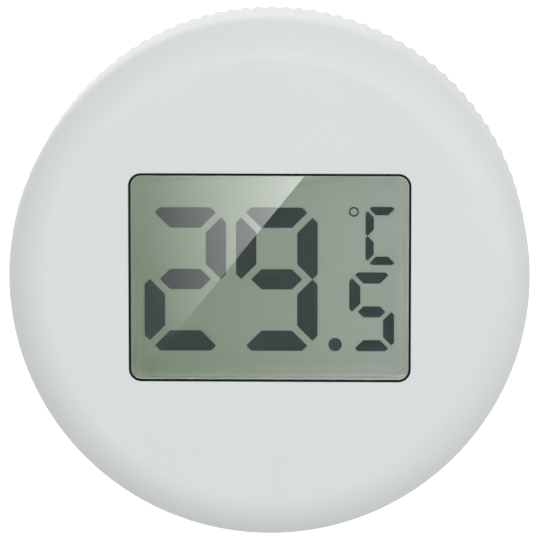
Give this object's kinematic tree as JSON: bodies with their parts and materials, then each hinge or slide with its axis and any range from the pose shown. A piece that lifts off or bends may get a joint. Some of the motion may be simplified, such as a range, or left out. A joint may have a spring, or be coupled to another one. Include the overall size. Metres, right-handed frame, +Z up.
{
  "type": "digital aquarium thermometer",
  "caption": "Round submersible thermometer with a liquid crystal display, a ribbed locking ring and a suction cup on a swivel.",
  "frame": {"origin": "centre of the glass face that the suction cup grips", "axes": "+Y into the glass, display facing -Y, +Z up as the digits read, +X to the display's right"},
  "size_m": [0.06, 0.026, 0.06],
  "materials": {
    "housing": "satin moulded",
    "clear_lens": "polished",
    "black_rubber": "matte",
    "polariser": "polished",
    "display_glass": "polished",
    "edge_seal": "matte",
    "segments": "matte",
    "reflector": "brushed",
    "inner_plastic": "matte",
    "contact_rubber": "matte",
    "board": "solder mask",
    "screw_steel": "zinc plated",
    "resin": "cured drop",
    "ceramic": "matte",
    "dark_plastic": "matte",
    "button_plastic": "matte",
    "cell_steel": "brushed",
    "spring_steel": "plated",
    "gold": "gold plated",
    "sensor_steel": "polished",
    "bead_glass": "coated",
    "cup_rubber": "soft moulded"
  },
  "bodies": {
    "suction_cup": {"suction_cup": "cup_rubber"},
    "back_unit": {"back_plate": "housing", "sealing_ring": "black_rubber", "sensor_cap": "sensor_steel", "thermistor": "bead_glass", "sensor_board": "board"},
    "locking_ring": {"locking_ring": "housing"},
    "front_unit": {"front_shell": "housing", "display_lens": "clear_lens", "lens_gasket": "black_rubber", "lcd_polariser": "polariser", "lcd_front_glass": "display_glass", "lcd_rear_glass": "display_glass", "lcd_edge_seal": "edge_seal", "lcd_segments": "segments", "lcd_reflector": "reflector", "lcd_frame": "inner_plastic", "lower_contact_strip": "contact_rubber", "upper_contact_strip": "contact_rubber", "circuit_board": "board", "board_screws": "screw_steel", "chip_cover": "resin", "timing_crystal": "spring_steel", "surface_mount_parts": "ceramic", "unit_switch": "dark_plastic", "battery_tray": "dark_plastic", "coin_cell": "cell_steel", "battery_plus_clip": "spring_steel", "battery_minus_spring": "spring_steel", "contact_pins": "gold"},
    "unit_button": {"unit_button": "button_plastic"}
  },
  "joints": [
    {"name": "cup_swivel", "type": "hinge", "parent": "suction_cup", "child": "back_unit", "pos_m": [0, -0.0093, 0], "axis": [0, 1, 0], "continuous": true},
    {"name": "ring_turn", "type": "hinge", "parent": "back_unit", "child": "locking_ring", "pos_m": [0, -0.013, 0], "axis": [0, 1, 0], "range_deg": [0, 75]},
    {"name": "front_release", "type": "slide", "parent": "back_unit", "child": "front_unit", "axis": [0, -1, 0], "range_m": [0, 0.002]},
    {"name": "unit_press", "type": "slide", "parent": "front_unit", "child": "unit_button", "axis": [0, -1, 0], "range_m": [0, 0.00025], "stiffness_N_per_m": 600}
  ],
  "couplings": [
    {"joint": "front_release", "follows": "ring_turn", "m_per_rad": 0.0015279}
  ]
}
